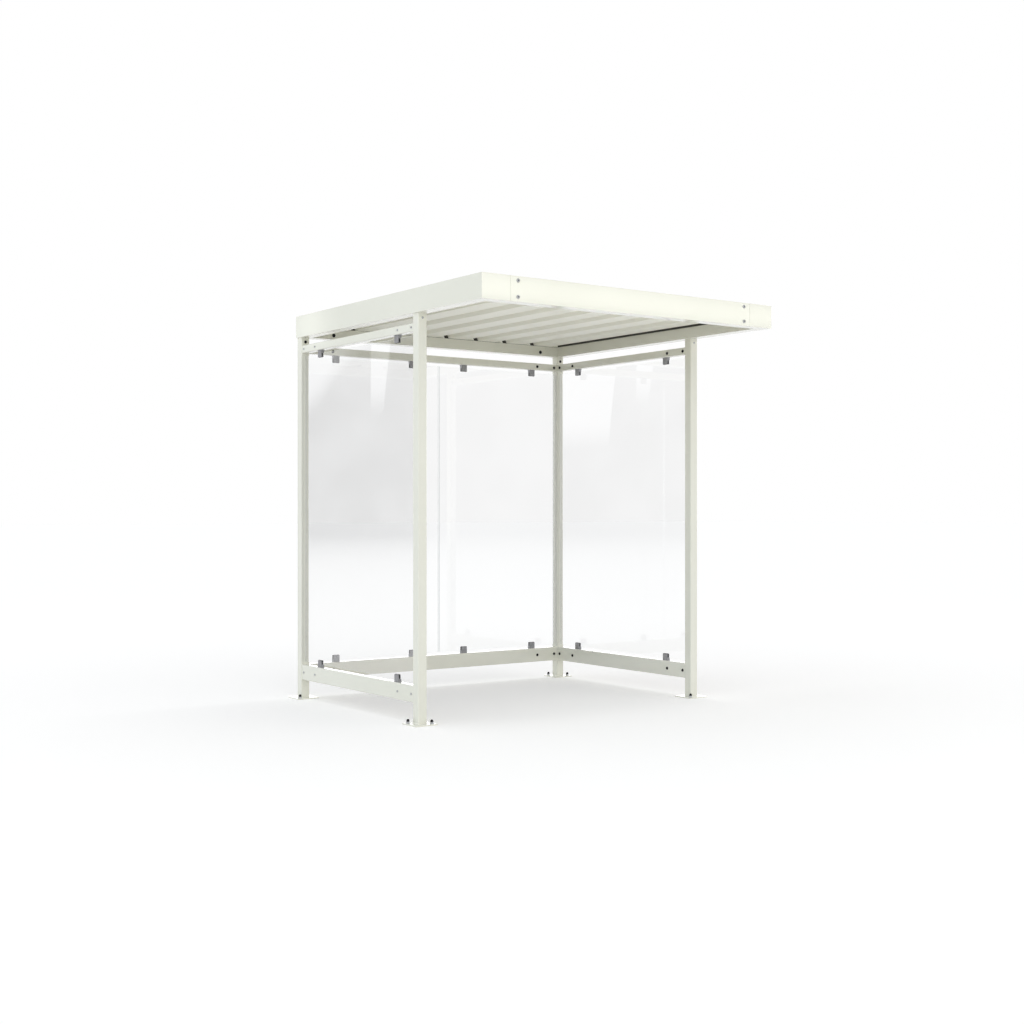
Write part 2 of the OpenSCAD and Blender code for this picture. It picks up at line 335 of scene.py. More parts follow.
# %% Black plastic and rubber
black_cap, tree, shader, place = new_material("black_cap")
two_tone(tree, noise(tree, place, 90.0), (0.008, 0.008, 0.009), (0.016, 0.016, 0.017),
         shader.inputs["Base Color"])
between(tree, noise(tree, place, 120.0), 0.38, 0.52, shader.inputs["Roughness"])
bump(tree, shader, noise(tree, place, 1500.0, 1.0), 0.00002)
shader.inputs["Specular IOR Level"].default_value = 0.15

rubber, tree, shader, place = new_material("rubber")
two_tone(tree, noise(tree, place, 70.0), (0.012, 0.012, 0.013), (0.026, 0.026, 0.027),
         shader.inputs["Base Color"])
between(tree, noise(tree, place, 200.0), 0.62, 0.8, shader.inputs["Roughness"])
bump(tree, shader, noise(tree, place, 1100.0, 1.0), 0.00004)

# Painted shade: this dark foam stands in for shadow in the deck's hollows and joints.
shade_foam, tree, shader, place = new_material("shade_foam")
two_tone(tree, noise(tree, place, 300.0, 3.0), (0.040, 0.038, 0.032), (0.075, 0.071, 0.060),
         shader.inputs["Base Color"])
between(tree, noise(tree, place, 150.0), 0.85, 0.95, shader.inputs["Roughness"])
bump(tree, shader, noise(tree, place, 900.0, 2.0), 0.0003)
print("caps, rubber and foam: black")

# %% [markdown]
# ## Finishes on the CAD parts
# A CAD part keeps its mesh. Its finish goes into its material slot, picked by the start of
# its name. Real edges are never knife sharp: folded sheet bends over a small radius, and the
# coating rounds the rest. A Weld modifier joins the loose triangles and a Bevel modifier
# rounds what turns sharply, so every edge catches a thin line of light.

# %% Finish for each CAD part
FINISHES = {
    "post": powder_coat, "foot_plate": powder_coat, "bottom_rail": powder_coat,
    "top_rail": powder_coat, "roof_beam": powder_coat, "deck": coil_coat_and_painted_light,
    "clamp": clamp_satin, "spigot": galvanised,
    "pane_left": side_glass, "pane_right": side_glass, "pane_back": back_glass,
}
for name, part in nodes.items():
    finish = next(FINISHES[start] for start in FINISHES if name.startswith(start))
    part.data.materials.clear()
    part.data.materials.append(finish)
print("finished", len(nodes), "CAD parts")

# %% Rounded edges
SAME_POINT = 0.00002
SHARP_TURN = math.radians(40)
EDGE_RADII = {"foot_plate": 0.0012, "roof_beam": 0.0014, "clamp": 0.0008, "pane": 0.0008}

for name, part in nodes.items():
    for start, radius in EDGE_RADII.items():
        if name.startswith(start):
            weld = part.modifiers.new("weld", "WELD")
            weld.merge_threshold = SAME_POINT
            bevel = part.modifiers.new("bevel", "BEVEL")
            bevel.width = radius
            bevel.segments = 2
            bevel.limit_method = "ANGLE"
            bevel.angle_limit = SHARP_TURN
            bevel.use_clamp_overlap = True
print("rounded edges on", [start for start in EDGE_RADII])

# %% [markdown]
# ## From bmesh to finished piece
# Small parts are modelled once, at the origin and pointing up, and then set in every place
# they are needed. Two helpers do that. `facing` turns +Z towards a direction and moves it to
# a point. `piece_of_copies` puts copies of a prototype in one mesh, which rides on the frame
# as one piece, because a row of bolts has one finish and never moves apart.

# %% Piece helpers
SMOOTH_BELOW = math.radians(35)
FLAT = 1e-6


def facing(point, direction):
    turn = Vector(direction).to_track_quat("Z", "Y").to_matrix().to_4x4()
    return Matrix.Translation(point) @ turn


def prototype(name, bm):
    """Keeps a small model as a mesh, with its faces pointing out."""
    bmesh.ops.recalc_face_normals(bm, faces=bm.faces)
    mesh = bpy.data.meshes.new(name)
    bm.to_mesh(mesh)
    bm.free()
    print(name, len(mesh.polygons), "faces")
    return mesh


def finished_piece(name, bm, materials):
    mesh = bpy.data.meshes.new(name)
    bm.to_mesh(mesh)
    bm.free()
    for material in materials:
        mesh.materials.append(material)
    for polygon in mesh.polygons:
        polygon.use_smooth = True
    mesh.set_sharp_from_angle(angle=SMOOTH_BELOW)
    piece = bpy.data.objects.new(name, mesh)
    bpy.context.scene.collection.objects.link(piece)
    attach(piece, "root")
    print(name, len(mesh.polygons), "faces")


def piece_of_copies(name, model, places, materials):
    bm = bmesh.new()
    for place in places:
        already = len(bm.verts)
        bm.from_mesh(model)
        bm.verts.ensure_lookup_table()
        bmesh.ops.transform(bm, matrix=place, verts=bm.verts[already:])
    finished_piece(name, bm, materials)


def edges_at(bm, height):
    """The edges that lie flat at this height."""
    return [e for e in bm.edges if all(abs(v.co.z - height) < FLAT for v in e.verts)]


print("piece helpers ready")

# %% [markdown]
# ## Button head bolt
# The bolts through the frame have low round heads with a hexagon socket, which look neat and
# give fingers nothing to catch on. A head is a short cylinder whose top rim gets a wide
# bevel. The top face is taken off and a hexagon is bridged into the round rim, then pushed
# down to make the socket, as the real tool recess is pressed in.

# %% Button head
RIM_ROUND, SOCKET_DEPTH = 0.75, 0.6


def button_head(name, radius, height, socket):
    bm = bmesh.new()
    lift = Matrix.Translation((0, 0, height / 2))
    bmesh.ops.create_cone(bm, cap_ends=True, segments=24, radius1=radius, radius2=radius,
                          depth=height, matrix=lift)
    bmesh.ops.bevel(bm, geom=edges_at(bm, height), offset=height * RIM_ROUND, segments=4,
                    profile=0.5, affect="EDGES", material=-1)
    lid = max(bm.faces, key=lambda f: f.calc_center_median().z)
    rim = list(lid.edges)
    bmesh.ops.delete(bm, geom=[lid], context="FACES_ONLY")
    top = Matrix.Translation((0, 0, height))
    key = bmesh.ops.create_circle(bm, cap_ends=False, segments=6, radius=socket, matrix=top)
    key_edges = list({e for v in key["verts"] for e in v.link_edges})
    bmesh.ops.bridge_loops(bm, edges=rim + key_edges)
    sunk = bmesh.ops.extrude_edge_only(bm, edges=key_edges)["geom"]
    sunk_verts = [g for g in sunk if isinstance(g, bmesh.types.BMVert)]
    sunk_edges = [g for g in sunk if isinstance(g, bmesh.types.BMEdge)
                  and all(v in sunk_verts for v in g.verts)]
    bmesh.ops.translate(bm, verts=sunk_verts, vec=(0, 0, -height * SOCKET_DEPTH))
    bmesh.ops.edgeloop_fill(bm, edges=sunk_edges)
    return prototype(name, bm)


rail_bolt = button_head("rail_bolt", radius=0.0073, height=0.0036, socket=0.0028)
roof_bolt = button_head("roof_bolt", radius=0.0112, height=0.0056, socket=0.0042)
clamp_screw = button_head("clamp_screw", radius=0.0040, height=0.0014, socket=0.0020)

# %% [markdown]
# ## Black nut cap
# On the inner faces each bolt ends in a nut under a black plastic cap. A cap is a low dome
# on a thin brim. Half a sphere makes the dome: the lower half is cut away, the open rim is
# drawn down and then out for the brim, and the underside is filled so the shell is closed.

# %% Nut cap
BRIM_REACH = 1.18


def nut_cap(name, radius, height, brim):
    bm = bmesh.new()
    bmesh.ops.create_uvsphere(bm, u_segments=20, v_segments=10, radius=radius)
    bmesh.ops.bisect_plane(bm, geom=bm.verts[:] + bm.edges[:] + bm.faces[:], dist=1e-7,
                           plane_co=(0, 0, 0), plane_no=(0, 0, 1), clear_inner=True)
    bmesh.ops.scale(bm, vec=(1, 1, (height - 2 * brim) / radius), verts=bm.verts)
    bmesh.ops.translate(bm, vec=(0, 0, 2 * brim), verts=bm.verts)
    for step, grow in ((-brim, 1.0), (0.0, BRIM_REACH), (-brim, 1.0)):
        rim = [e for e in bm.edges if e.is_boundary]
        drawn = bmesh.ops.extrude_edge_only(bm, edges=rim)["geom"]
        drawn = [g for g in drawn if isinstance(g, bmesh.types.BMVert)]
        bmesh.ops.translate(bm, vec=(0, 0, step), verts=drawn)
        bmesh.ops.scale(bm, vec=(grow, grow, 1), verts=drawn)
    bmesh.ops.edgeloop_fill(bm, edges=[e for e in bm.edges if e.is_boundary])
    return prototype(name, bm)


rail_cap = nut_cap("rail_cap", radius=0.0086, height=0.0080, brim=0.0010)
roof_cap = nut_cap("roof_cap", radius=0.0105, height=0.0100, brim=0.0012)

# %% [markdown]
# ## Bolts through the rails
# Each rail slides over a short sleeve on the post and is bolted to it twice at each end,
# halfway up. The heads are on the outside and the caps on the inside, so the same list of
# places serves both: only the face and the direction change.

# %% Rail bolts and caps
BOLT_SETBACKS = (0.025, 0.180)


def rail_faces(wall, level):
    """Bolt places on a rail's outer face, and the same on its inner face."""
    low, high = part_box(f"{level}_rail_{wall}")
    centre = (low + high) / 2
    along = 0 if wall == "back" else 1
    out = Vector((0, 1, 0)) if wall == "back" else Vector((outward(wall), 0, 0))
    half = (high - low)[1 - along] / 2
    spots = []
    for setback in BOLT_SETBACKS:
        for end in (low[along] + setback, high[along] - setback):
            spot = centre.copy()
            spot[along] = end
            spots.append(spot)
    outer = [facing(spot + out * half, out) for spot in spots]
    inner = [facing(spot - out * half, -out) for spot in spots]
    return outer, inner


for wall in ("left", "back", "right"):
    for level in ("bottom", "top"):
        outer, inner = rail_faces(wall, level)
        piece_of_copies(f"{level}_rail_bolts_{wall}", rail_bolt, outer, [zinc_plate])
        piece_of_copies(f"{level}_rail_caps_{wall}", rail_cap, inner, [black_cap])

# %% [markdown]
# ## Bolts through the post heads
# A spigot under the roof beam reaches into each post and a bolt holds it, just below the
# roof. It runs front to back. The head shows on the face that looks out of the shelter, and
# the cap on the face that looks in.

# %% Post head bolts and caps
HEAD_BOLT_DROP = 0.028

heads, caps = [], []
for end, side in CORNERS:
    centre = middle(f"post_{end}_{side}")
    centre.z = roof_low.z - HEAD_BOLT_DROP
    out = Vector((0, outward(end), 0))
    heads.append(facing(centre + out * post_width / 2, out))
    caps.append(facing(centre - out * post_width / 2, -out))
piece_of_copies("post_head_bolts", rail_bolt, heads, [zinc_plate])
piece_of_copies("post_head_caps", rail_cap, caps, [black_cap])

# %% [markdown]
# ## Bolts at the roof seams
# The side beams turn the corners, and the front and back beams meet them at an open seam. A
# strap behind each seam carries two bolts, one above the other. The lower one runs on through
# the inner web of the beam, where it ends under a cap. The upper one is above that web.

# %% Roof joint bolts and caps
SEAM_BOLT_OFFSET = 0.049
LOWER_BOLT, UPPER_BOLT = 0.027, 0.117

for end in ENDS:
    low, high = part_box(f"roof_beam_{end}")
    out = Vector((0, outward(end), 0))
    face = low.y if end == "front" else high.y
    web = high.y if end == "front" else low.y
    columns = (low.x + SEAM_BOLT_OFFSET, high.x - SEAM_BOLT_OFFSET)
    heads = [facing((x, face, low.z + rise), out)
             for x in columns for rise in (LOWER_BOLT, UPPER_BOLT)]
    caps = [facing((x, web, low.z + LOWER_BOLT), -out) for x in columns]
    piece_of_copies(f"roof_joint_bolts_{end}", roof_bolt, heads, [zinc_plate])
    piece_of_copies(f"roof_joint_caps_{end}", roof_cap, caps, [black_cap])

# %% [markdown]
# ## Anchors
# Two anchor bolts hold each foot plate to the ground, across the corner. What shows is a
# washer, a hexagon nut and a small black cap pressed over the thread, so that nobody catches
# a foot on sharp steel. The cap is a short cylinder with half a sphere on top. The nut has
# its upper corners chamfered, as a real one has so that a spanner finds it.

# %% Anchor nut and cap
WASHER_HEIGHT, NUT_HEIGHT = 0.0016, 0.0080
WASHER_RADIUS, WASHER_ROUND = 0.0130, 0.0005
NUT_RADIUS, NUT_CHAMFER = 0.0104, 0.0012
CAP_RADIUS, CAP_WALL = 0.0090, 0.0070
DOME_INSET, DOME_OVERLAP = 0.0003, 0.0005


def anchor_nut():
    bm = bmesh.new()
    lift = Matrix.Translation((0, 0, WASHER_HEIGHT / 2))
    bmesh.ops.create_cone(bm, cap_ends=True, segments=32, radius1=WASHER_RADIUS,
                          radius2=WASHER_RADIUS, depth=WASHER_HEIGHT, matrix=lift)
    bmesh.ops.bevel(bm, geom=edges_at(bm, WASHER_HEIGHT), offset=WASHER_ROUND, segments=2,
                    profile=0.5, affect="EDGES", material=-1)
    top = WASHER_HEIGHT + NUT_HEIGHT
    lift = Matrix.Translation((0, 0, WASHER_HEIGHT + NUT_HEIGHT / 2))
    bmesh.ops.create_cone(bm, cap_ends=True, segments=6, radius1=NUT_RADIUS,
                          radius2=NUT_RADIUS, depth=NUT_HEIGHT, matrix=lift)
    bmesh.ops.bevel(bm, geom=edges_at(bm, top), offset=NUT_CHAMFER, segments=2, profile=0.5,
                    affect="EDGES", material=-1)
    return prototype("anchor_nut", bm)


def anchor_cap():
    bm = bmesh.new()
    lift = Matrix.Translation((0, 0, CAP_WALL / 2))
    bmesh.ops.create_cone(bm, cap_ends=True, segments=24, radius1=CAP_RADIUS,
                          radius2=CAP_RADIUS, depth=CAP_WALL, matrix=lift)
    dome = bmesh.ops.create_uvsphere(bm, u_segments=24, v_segments=12,
                                     radius=CAP_RADIUS - DOME_INSET)["verts"]
    below = [v for v in dome if v.co.z < -FLAT]
    bmesh.ops.delete(bm, geom=below, context="VERTS")
    bmesh.ops.edgeloop_fill(bm, edges=[e for e in bm.edges if e.is_boundary])
    dome = [v for v in dome if v.is_valid]
    bmesh.ops.translate(bm, vec=(0, 0, CAP_WALL - DOME_OVERLAP), verts=dome)
    return prototype("anchor_cap", bm)


nut_model = anchor_nut()
cap_model = anchor_cap()

# %% Anchors on the foot plates
ANCHOR_INSET = 0.025
UP = Vector((0, 0, 1))

for end, side in CORNERS:
    low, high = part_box(f"foot_plate_{end}_{side}")
    centre = (low + high) / 2
    reach = (high.x - low.x) / 2 - ANCHOR_INSET
    across = -outward(side) * outward(end)
    spots = [Vector((centre.x + s * reach, centre.y + s * across * reach, high.z))
             for s in (-1, 1)]
    tops = [spot + UP * (WASHER_HEIGHT + NUT_HEIGHT) for spot in spots]
    piece_of_copies(f"anchor_nuts_{end}_{side}", nut_model,
                    [facing(s, UP) for s in spots], [zinc_plate])
    piece_of_copies(f"anchor_caps_{end}_{side}", cap_model,
                    [facing(t, UP) for t in tops], [black_cap])

# %% [markdown]
# ## Welds at the post feet
# A fillet weld joins each post to its plate. After coating it is a soft slope all round the
# foot. Four rounded squares give its section: one on the plate, one for the hollow slope, one
# on the post, and one just inside the corner that closes the ring when they are bridged.

# %% Foot weld
WELD_LEG = 0.005
WELD_BELLY_OUT, WELD_BELLY_UP = 0.45 * WELD_LEG, 0.35 * WELD_LEG
WELD_ROOT_IN, WELD_ROOT_UP = 0.0005, 0.0003
POST_RADIUS = 0.006


def rounded_square(bm, half, radius, height):
    """The edges of a square ring with rounded corners."""
    made = bmesh.ops.create_grid(bm, x_segments=1, y_segments=1, size=half,
                                 matrix=Matrix.Translation((0, 0, height)))
    face = made["verts"][0].link_faces[0]
    bmesh.ops.bevel(bm, geom=list(face.verts), offset=radius, segments=6, profile=0.5,
                    affect="VERTICES", material=-1)
    face = max((f for f in bm.faces if abs(f.calc_center_median().z - height) < FLAT),
               key=lambda f: f.calc_area())
    edges = list(face.edges)
    bmesh.ops.delete(bm, geom=[face], context="FACES_ONLY")
    return edges


def foot_weld():
    bm = bmesh.new()
    half = post_width / 2
    steps = ((half + WELD_LEG, POST_RADIUS + WELD_LEG, 0.0),
             (half + WELD_BELLY_OUT, POST_RADIUS + WELD_BELLY_OUT, WELD_BELLY_UP),
             (half, POST_RADIUS, WELD_LEG),
             (half - WELD_ROOT_IN, POST_RADIUS, WELD_ROOT_UP))
    rings = [rounded_square(bm, *step) for step in steps]
    for i, ring in enumerate(rings):
        bmesh.ops.bridge_loops(bm, edges=ring + rings[(i + 1) % len(rings)])
    return prototype("foot_weld", bm)


weld_model = foot_weld()
for end, side in CORNERS:
    foot = middle(f"post_{end}_{side}")
    foot.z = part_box(f"post_{end}_{side}")[0].z
    piece_of_copies(f"foot_weld_{end}_{side}", weld_model, [facing(foot, UP)],
                    [powder_coat])

# %% [markdown]
# ## Rubber in the clamps
# Steel must never touch glass, so each cheek of a clamp is lined with a rubber pad that
# stands a little proud of it. A pad is a block with rounded edges. All the pads of one wall
# are one piece.

# %% Clamp rubber
PAD_THICKNESS = 0.0019
PAD_PROUD, PAD_ROUND = 0.0012, 0.0005
PAD_GRIP = 0.025
GLASS_HALF = 0.004


def clamps_of(wall):
    return sorted(name for name in nodes if name.startswith(f"clamp_{wall}"))


def pad(bm, size, centre):
    verts = bmesh.ops.create_cube(bm, size=1)["verts"]
    bmesh.ops.scale(bm, vec=size, verts=verts)
    bmesh.ops.translate(bm, vec=centre, verts=verts)
    edges = list({e for v in verts for e in v.link_edges})
    bmesh.ops.bevel(bm, geom=edges, offset=PAD_ROUND, segments=2, profile=0.5,
                    affect="EDGES", material=-1)


def wall_pads(wall):
    bm = bmesh.new()
    across = 1 if wall == "back" else 0
    for name in clamps_of(wall):
        low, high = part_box(name)
        centre = (low + high) / 2
        at_foot = name.endswith("bottom")
        end = high.z if at_foot else low.z
        inward = -1 if at_foot else 1
        size = high - low + Vector((1, 1, 1)) * 2 * PAD_PROUD
        size[across] = PAD_THICKNESS
        size.z = PAD_GRIP + PAD_PROUD
        centre.z = end + inward * (PAD_GRIP - PAD_PROUD) / 2
        for cheek in (-1, 1):
            spot = centre.copy()
            spot[across] += cheek * (GLASS_HALF + PAD_THICKNESS / 2)
            pad(bm, size, spot)
    bmesh.ops.recalc_face_normals(bm, faces=bm.faces)
    finished_piece(f"clamp_rubber_{wall}", bm, [rubber])


for wall in ("left", "back", "right"):
    wall_pads(wall)

# %% [markdown]
# ## Clamp screws
# Two small socket screws in the inner cheek press the rubber against the glass. They are
# flush heads of the same prototype as the bolts, only smaller.

# %% Clamp screws
SCREW_SPREAD = 0.011
SCREW_FROM_END = 0.012
CLAMP_HALF = 0.011

for wall in ("left", "back", "right"):
    inward = Vector((0, -1, 0)) if wall == "back" else Vector((-outward(wall), 0, 0))
    sideways = Vector((1, 0, 0)) if wall == "back" else Vector((0, 1, 0))
    places = []
    for name in clamps_of(wall):
        low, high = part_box(name)
        centre = (low + high) / 2
        if name.endswith("bottom"):
            centre.z = high.z - SCREW_FROM_END
        else:
            centre.z = low.z + SCREW_FROM_END
        for spread in (-SCREW_SPREAD, SCREW_SPREAD):
            places.append(facing(centre + inward * CLAMP_HALF + sideways * spread, inward))
    piece_of_copies(f"clamp_screws_{wall}", clamp_screw, places, [zinc_plate])

# %% [markdown]
# ## Screws that hold the deck
# From above, self-drilling screws hold the deck down: one in every pan over the front and
# back webs, and a row along the crown where the two sheets meet. Each has a hexagon head, a
# flange and a rubber sealing ring.

# %% Deck screw
RING_FOOT, RING_TOP, RING_HEIGHT = 0.008, 0.0075, 0.002
FLANGE_FOOT, FLANGE_TOP, FLANGE_HEIGHT = 0.0072, 0.0068, 0.001
HEX_RADIUS, HEX_HEIGHT, HEX_CHAMFER = 0.0046, 0.005, 0.0008
SCREW_HEIGHT = 0.008


def deck_screw():
    bm = bmesh.new()
    lift = Matrix.Translation((0, 0, RING_HEIGHT / 2))
    ring = bmesh.ops.create_cone(bm, cap_ends=True, segments=20, radius1=RING_FOOT,
                                 radius2=RING_TOP, depth=RING_HEIGHT, matrix=lift)
    for face in {f for v in ring["verts"] for f in v.link_faces}:
        face.material_index = 1
    lift = Matrix.Translation((0, 0, RING_HEIGHT + FLANGE_HEIGHT / 2))
    bmesh.ops.create_cone(bm, cap_ends=True, segments=20, radius1=FLANGE_FOOT,
                          radius2=FLANGE_TOP, depth=FLANGE_HEIGHT, matrix=lift)
    lift = Matrix.Translation((0, 0, SCREW_HEIGHT - HEX_HEIGHT / 2))
    head = bmesh.ops.create_cone(bm, cap_ends=True, segments=6, radius1=HEX_RADIUS,
                                 radius2=HEX_RADIUS, depth=HEX_HEIGHT, matrix=lift)
    top = [e for e in edges_at(bm, SCREW_HEIGHT) if all(v in head["verts"] for v in e.verts)]
    bmesh.ops.bevel(bm, geom=top, offset=HEX_CHAMFER, segments=1, profile=0.5, affect="EDGES",
                    material=-1)
    return prototype("deck_screw", bm)


screw_model = deck_screw()

# %% Deck screws in their rows
RIB_PITCH = 0.250
SHEET = 0.001
WEB_BEARING = 0.0265
CROWN_SPACING, CROWN_SPREAD = 0.330, 0.018

pan_top = deck_low.z + SHEET
pans = [(i + 0.5) * RIB_PITCH for i in range(-4, 4)]
rows = (deck_low.y + WEB_BEARING, deck_high.y - WEB_BEARING)
places = [facing((x, y, pan_top), UP) for x in pans for y in rows]
crown_y = (deck_low.y + deck_high.y) / 2
for i in range(-3, 4):
    for side in (-1, 1):
        places.append(facing((side * CROWN_SPREAD, crown_y + i * CROWN_SPACING, deck_high.z), UP))
piece_of_copies("deck_screws", screw_model, places, [zinc_plate, rubber])

# %% [markdown]
# ## Painted shade under the deck
# A strip of dark foam fills the hollow of the outermost rib along each side web, and a thin
# dark bead runs along the joint of the pans with the front and back webs. Both are painted
# shade: they darken a hollow and a joint that lie in shadow. Both are plain boxes scaled to
# their space, with bevelled edges because cut foam has no sharp corner.

# %% Painted shade: dark strips and beads
BEAM_WIDTH = 0.080
SHADE_STRIP_THICKNESS, SHADE_STRIP_HEIGHT, SEAT_GAP = 0.0155, 0.033, 0.0005
SHADE_STRIP_ROUND, BEAD_ROUND = 0.0015, 0.0003
BEAD_HEIGHT, BEAD_DEPTH = 0.0018, 0.0008

web_top = deck_low.z
web_faces = {"front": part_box("roof_beam_front")[1].y, "back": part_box("roof_beam_back")[0].y,
             "left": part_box("roof_beam_left")[0].x + BEAM_WIDTH,
             "right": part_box("roof_beam_right")[1].x - BEAM_WIDTH}


def add_box(bm, low, high, edge):
    """A box between two opposite corners, with its edges rounded."""
    low, high = Vector(low), Vector(high)
    place = Matrix.Translation((low + high) / 2) @ Matrix.Diagonal((*(high - low), 1))
    corners = bmesh.ops.create_cube(bm, size=1, matrix=place)["verts"]
    edges = list({e for v in corners for e in v.link_edges})
    return bmesh.ops.bevel(bm, geom=edges, offset=edge, segments=2, profile=0.5,
                           affect="EDGES", material=-1)["verts"]


# Painted shade: a dark strip darkens the shadowed hollow of each side rib.
for side in SIDES:
    near = web_faces[side] + outward(side) * SEAT_GAP
    far = near + outward(side) * SHADE_STRIP_THICKNESS
    bm = bmesh.new()
    add_box(bm, (min(near, far), web_faces["front"], web_top + SEAT_GAP),
            (max(near, far), web_faces["back"], web_top + SHADE_STRIP_HEIGHT), SHADE_STRIP_ROUND)
    finished_piece(f"shade_strip_{side}", bm, [shade_foam])

# Painted shade: a dark bead draws the shadow line where the pans meet the front and back webs.
for end in ENDS:
    face = web_faces[end]
    proud = face - outward(end) * BEAD_DEPTH
    bm = bmesh.new()
    add_box(bm, (web_faces["left"], min(face, proud), web_top - BEAD_HEIGHT),
            (web_faces["right"], max(face, proud), web_top), BEAD_ROUND)
    finished_piece(f"shade_bead_{end}", bm, [shade_foam])

# %% [markdown]
# ## Stoppers in the rib ends
# Where a rib crosses the front or back web its hollow is open, and birds or wasps would use
# it. A painted cleat fills the left part of each opening and a dark foam plug the right
# part, and the slot left between them lets the hollow breathe. The plug is painted shade: it
# darkens the right part of the opening, which lies in the rib's shadow. It leans with the
# flank of the rib: it is a box that a shear pushes over.

# %% Cleats and plugs
RIB_FOOT, RIB_LEAN = 0.110, 0.5
STOPPER_DEPTH, STOPPER_ROUND = 0.014, 0.001
CLEAT_FROM, CLEAT_TO, CLEAT_HEIGHT = -0.040, -0.002, 0.022
PLUG_WIDTH, PLUG_HEIGHT, PLUG_INSET = 0.024, 0.030, 0.0015

ribs = [i * RIB_PITCH for i in range(-3, 4)]
for end in ENDS:
    near = web_faces[end] + outward(end) * SEAT_GAP
    far = near + outward(end) * STOPPER_DEPTH
    front, back = min(near, far), max(near, far)
    floor_z = web_top + SEAT_GAP
    bm = bmesh.new()
    for x in ribs:
        add_box(bm, (x + CLEAT_FROM, front, floor_z),
                (x + CLEAT_TO, back, floor_z + CLEAT_HEIGHT), STOPPER_ROUND)
    finished_piece(f"rib_cleats_{end}", bm, [powder_coat])
    # Painted shade: dark plugs fill the shadowed right part of each rib end.
    bm = bmesh.new()
    lean = Matrix.Identity(4)
    lean[0][2] = -RIB_LEAN
    for x in ribs:
        right = x + RIB_FOOT / 2 - PLUG_INSET
        verts = add_box(bm, (-PLUG_WIDTH, front, 0), (0, back, PLUG_HEIGHT),
                        STOPPER_ROUND)
        bmesh.ops.transform(bm, verts=verts, matrix=Matrix.Translation((right, 0, floor_z))
                            @ lean)
    finished_piece(f"rib_shade_plugs_{end}", bm, [shade_foam])

# %% [markdown]
# ## Soft studio
# The shelter is shown as in a bright, plain studio. Light comes from everywhere, most of it
# from the front and the left, so that no lamp throws a hard shadow and each face has its own
# tone. Six strengths describe such a room: each direction takes its share of three of them,
# by the square of its part along each axis. The light from the left is a little cooler.
#
# What the camera sees behind the shelter is white, straight on or through the glass. The
# blurred reflections in the paint see a white room too, with a much brighter low band in the
# far right corner: it is what makes the top faces of rails and plates shine. Rays that glass
# has mirrored see another room: a grey wall just above the horizon, as in a big hall, and
# white above it. That wall is what makes glass readable, because a mirror in an all-white
# room disappears. On one side the wall is lower, and it has a few narrow gaps, so the panes
# catch some sky. A slow noise makes it uneven, as trees and houses would be. None of this is
# how one real room would light the shelter: each kind of ray gets the room that suits it.

# %% World
LIGHT_TOP, LIGHT_FRONT, LIGHT_LEFT = 0.60, 1.42, 1.33
LIGHT_BACK, LIGHT_RIGHT = 0.55, 0.60
COOL_LIGHT, PLAIN_LIGHT = (0.93, 1.0, 1.06), (1.0, 1.0, 1.0)
BACKDROP = 1.0
SHEEN_HIGH, SHEEN_LOW, SHEEN_FROM, SHEEN_TO = 1.0, 2.6, 0.35, 0.10
WALL_GREY = 0.15
WALL_TOP, LOW_WALL_TOP = 0.125, 0.075
LOW_WALL_SIDE = (-0.50, -0.45)
WALL_GAPS = ((-0.634, -0.590, 0.055), (-0.654, -0.648, 0.085), (-0.504, -0.497, 0.080))
GAP_EDGE = 0.003
FOLIAGE_SCALE, FOLIAGE = 22.0, (0.04, 0.28)
SKY = (0.97, 0.98, 1.0)

world = bpy.data.worlds.new("studio")
bpy.context.scene.world = world
world.use_nodes = True
tree = world.node_tree
tree.nodes.clear()
make, join = tree.nodes.new, tree.links.new


def background(colour):
    node = make("ShaderNodeBackground")
    node.inputs["Color"].default_value = (*colour, 1)
    return node


def mixed(factor, first, second):
    node = make("ShaderNodeMixShader")
    join(factor, node.inputs["Fac"])
    join(first, node.inputs[1])
    join(second, node.inputs[2])
    return node.outputs["Shader"]


def ranged(value, start, end, at_start, at_end):
    node = make("ShaderNodeMapRange")
    node.interpolation_type = "SMOOTHSTEP"
    node.inputs["From Min"].default_value = start
    node.inputs["From Max"].default_value = end
    node.inputs["To Min"].default_value = at_start
    node.inputs["To Max"].default_value = at_end
    join(value, node.inputs["Value"])
    return node.outputs["Result"]


def combined(operation, *values):
    """A Math node; each value is a socket to join or a plain number."""
    node = make("ShaderNodeMath")
    node.operation = operation
    for socket, value in zip(node.inputs, values):
        if isinstance(value, (int, float)):
            socket.default_value = value
        else:
            join(value, socket)
    return node.outputs["Value"]


direction = make("ShaderNodeSeparateXYZ")
join(make("ShaderNodeTexCoord").outputs["Generated"], direction.inputs["Vector"])


def light_along(axis, at_minus, at_plus):
    """Light that grows with the square of a direction's part along one axis."""
    part = direction.outputs[axis]
    side = combined("GREATER_THAN", part, 0.0)
    strength = combined("MULTIPLY_ADD", side, at_plus - at_minus, at_minus)
    return combined("MULTIPLY", combined("MULTIPLY", part, part), strength)


across = light_along("X", LIGHT_LEFT, LIGHT_RIGHT)
along = light_along("Y", LIGHT_FRONT, LIGHT_BACK)
upward = light_along("Z", 0.0, LIGHT_TOP)
room = background(PLAIN_LIGHT)
leftward = combined("MULTIPLY", direction.outputs["X"], -1.0)
two_tone(tree, leftward, PLAIN_LIGHT, COOL_LIGHT, room.inputs["Color"], 0.0, 0.8)
join(combined("ADD", combined("ADD", across, along), upward), room.inputs["Strength"])

